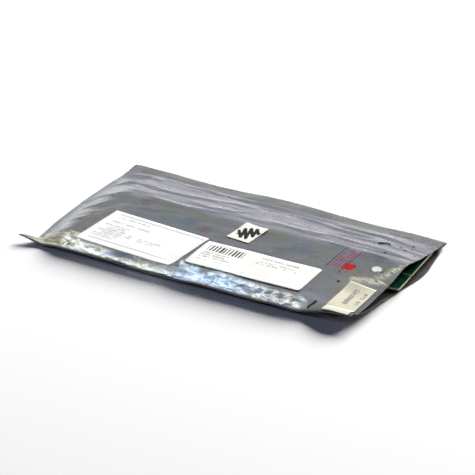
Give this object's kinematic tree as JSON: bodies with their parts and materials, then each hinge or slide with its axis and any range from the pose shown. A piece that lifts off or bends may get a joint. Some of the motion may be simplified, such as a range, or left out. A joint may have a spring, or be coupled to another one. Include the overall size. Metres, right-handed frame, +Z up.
{
  "type": "stepper driver module",
  "caption": "Plug-in stepper motor driver card with finned heat sink, in a labelled static-shielding bag that it slides out of.",
  "frame": {"origin": "on the floor under the middle of the bag", "axes": "+X from the bag's closed end to its open mouth, +Y from front to back, +Z up"},
  "size_m": [0.2565, 0.14, 0.0128],
  "materials": {
    "shielding_film": "smoky mirror film",
    "label_paper": "matt white label paper",
    "stock_label_paper": "aged cream label paper",
    "board_laminate": "solder-masked glass laminate",
    "gold_plate": "gold plated copper",
    "black_anodised": "black anodised",
    "thermal_pad": "silicone pad",
    "black_epoxy": "moulded epoxy",
    "white_epoxy": "moulded epoxy",
    "tinned_metal": "tinned",
    "zinc_steel": "zinc plated",
    "capacitor_sleeve": "shrink sleeve",
    "aluminium_end": "drawn aluminium",
    "film_capacitor_case": "potted case",
    "ceramic_dip": "dipped resin",
    "resistor_lacquer": "lacquer",
    "power_resistor_coat": "cement coat",
    "diode_case": "moulded epoxy",
    "ferrite": "coated ferrite",
    "enamelled_copper": "enamelled copper wire",
    "crystal_can": "plated can",
    "led_lens": "tinted resin",
    "terminal_plastic": "polyamide",
    "clamp_brass": "plated brass",
    "switch_housing": "moulded",
    "slider_plastic": "moulded",
    "trimmer_case": "moulded",
    "trimmer_brass": "turned brass"
  },
  "bodies": {
    "bag": {"bag_bottom_film": "shielding_film", "bag_top_film": "shielding_film", "label_barcode": "label_paper", "label_contents": "label_paper", "label_dot": "label_paper", "label_marker": "label_paper", "label_stock": "stock_label_paper"},
    "card": {"axial_part_leads": "tinned_metal", "bulk_capacitor_ends": "aluminium_end", "bulk_capacitor_leads": "tinned_metal", "bulk_capacitors": "capacitor_sleeve", "ceramic_capacitors": "ceramic_dip", "choke_core": "ferrite", "choke_winding": "enamelled_copper", "circuit_board": "board_laminate", "contact_fingers": "gold_plate", "controller_chip": "black_epoxy", "controller_legs": "tinned_metal", "crystal_can": "crystal_can", "diodes": "diode_case", "film_capacitors": "film_capacitor_case", "heat_sink": "black_anodised", "heat_sink_nuts": "zinc_steel", "heat_sink_screws": "zinc_steel", "logic_chip_legs": "tinned_metal", "logic_chips": "black_epoxy", "optocoupler_legs": "tinned_metal", "optocouplers": "white_epoxy", "regulator_body": "black_epoxy", "regulator_leads": "tinned_metal", "regulator_tab": "tinned_metal", "sense_resistors": "power_resistor_coat", "small_resistor_leads": "tinned_metal", "small_resistors": "resistor_lacquer", "status_leds": "led_lens", "switch_body": "switch_housing", "terminal_block": "terminal_plastic", "terminal_clamps": "clamp_brass", "thermal_pads": "thermal_pad", "transistor_bodies": "black_epoxy", "transistor_leads": "tinned_metal", "transistor_screws": "zinc_steel", "transistor_tabs": "tinned_metal", "trimmer_body": "trimmer_case"},
    "terminal_screw_1": {"terminal_screw_1": "zinc_steel"},
    "terminal_screw_2": {"terminal_screw_2": "zinc_steel"},
    "terminal_screw_3": {"terminal_screw_3": "zinc_steel"},
    "terminal_screw_4": {"terminal_screw_4": "zinc_steel"},
    "terminal_screw_5": {"terminal_screw_5": "zinc_steel"},
    "terminal_screw_6": {"terminal_screw_6": "zinc_steel"},
    "switch_slider_1": {"switch_slider_1": "slider_plastic"},
    "switch_slider_2": {"switch_slider_2": "slider_plastic"},
    "switch_slider_3": {"switch_slider_3": "slider_plastic"},
    "switch_slider_4": {"switch_slider_4": "slider_plastic"},
    "switch_slider_5": {"switch_slider_5": "slider_plastic"},
    "switch_slider_6": {"switch_slider_6": "slider_plastic"},
    "trimmer_rotor": {"trimmer_rotor": "trimmer_brass"}
  },
  "joints": [
    {"name": "card_slide", "type": "slide", "parent": "bag", "child": "card", "axis": [0.9969, 0.0785, 0], "range_m": [0, 0.235]},
    {"name": "terminal_screw_1_turn", "type": "hinge", "parent": "card", "child": "terminal_screw_1", "pos_m": [-0.08527, -0.02876, 0.0089], "axis": [0, 0, 1], "continuous": true},
    {"name": "terminal_screw_2_turn", "type": "hinge", "parent": "card", "child": "terminal_screw_2", "pos_m": [-0.08566, -0.02378, 0.0089], "axis": [0, 0, 1], "continuous": true},
    {"name": "terminal_screw_3_turn", "type": "hinge", "parent": "card", "child": "terminal_screw_3", "pos_m": [-0.08605, -0.01879, 0.0089], "axis": [0, 0, 1], "continuous": true},
    {"name": "terminal_screw_4_turn", "type": "hinge", "parent": "card", "child": "terminal_screw_4", "pos_m": [-0.08644, -0.01381, 0.0089], "axis": [0, 0, 1], "continuous": true},
    {"name": "terminal_screw_5_turn", "type": "hinge", "parent": "card", "child": "terminal_screw_5", "pos_m": [-0.08684, -0.00882, 0.0089], "axis": [0, 0, 1], "continuous": true},
    {"name": "terminal_screw_6_turn", "type": "hinge", "parent": "card", "child": "terminal_screw_6", "pos_m": [-0.08723, -0.00384, 0.0089], "axis": [0, 0, 1], "continuous": true},
    {"name": "switch_slider_1_slide", "type": "slide", "parent": "card", "child": "switch_slider_1", "axis": [-0.0785, 0.9969, 0], "range_m": [0, 0.0016]},
    {"name": "switch_slider_2_slide", "type": "slide", "parent": "card", "child": "switch_slider_2", "axis": [-0.0785, 0.9969, 0], "range_m": [0, 0.0016]},
    {"name": "switch_slider_3_slide", "type": "slide", "parent": "card", "child": "switch_slider_3", "axis": [-0.0785, 0.9969, 0], "range_m": [0, 0.0016]},
    {"name": "switch_slider_4_slide", "type": "slide", "parent": "card", "child": "switch_slider_4", "axis": [-0.0785, 0.9969, 0], "range_m": [0, 0.0016]},
    {"name": "switch_slider_5_slide", "type": "slide", "parent": "card", "child": "switch_slider_5", "axis": [-0.0785, 0.9969, 0], "range_m": [0, 0.0016]},
    {"name": "switch_slider_6_slide", "type": "slide", "parent": "card", "child": "switch_slider_6", "axis": [-0.0785, 0.9969, 0], "range_m": [0, 0.0016]},
    {"name": "trimmer_turn", "type": "hinge", "parent": "card", "child": "trimmer_rotor", "pos_m": [-0.04206, -0.0374, 0.0065], "axis": [0, 0, 1], "range_deg": [-135, 135]}
  ]
}
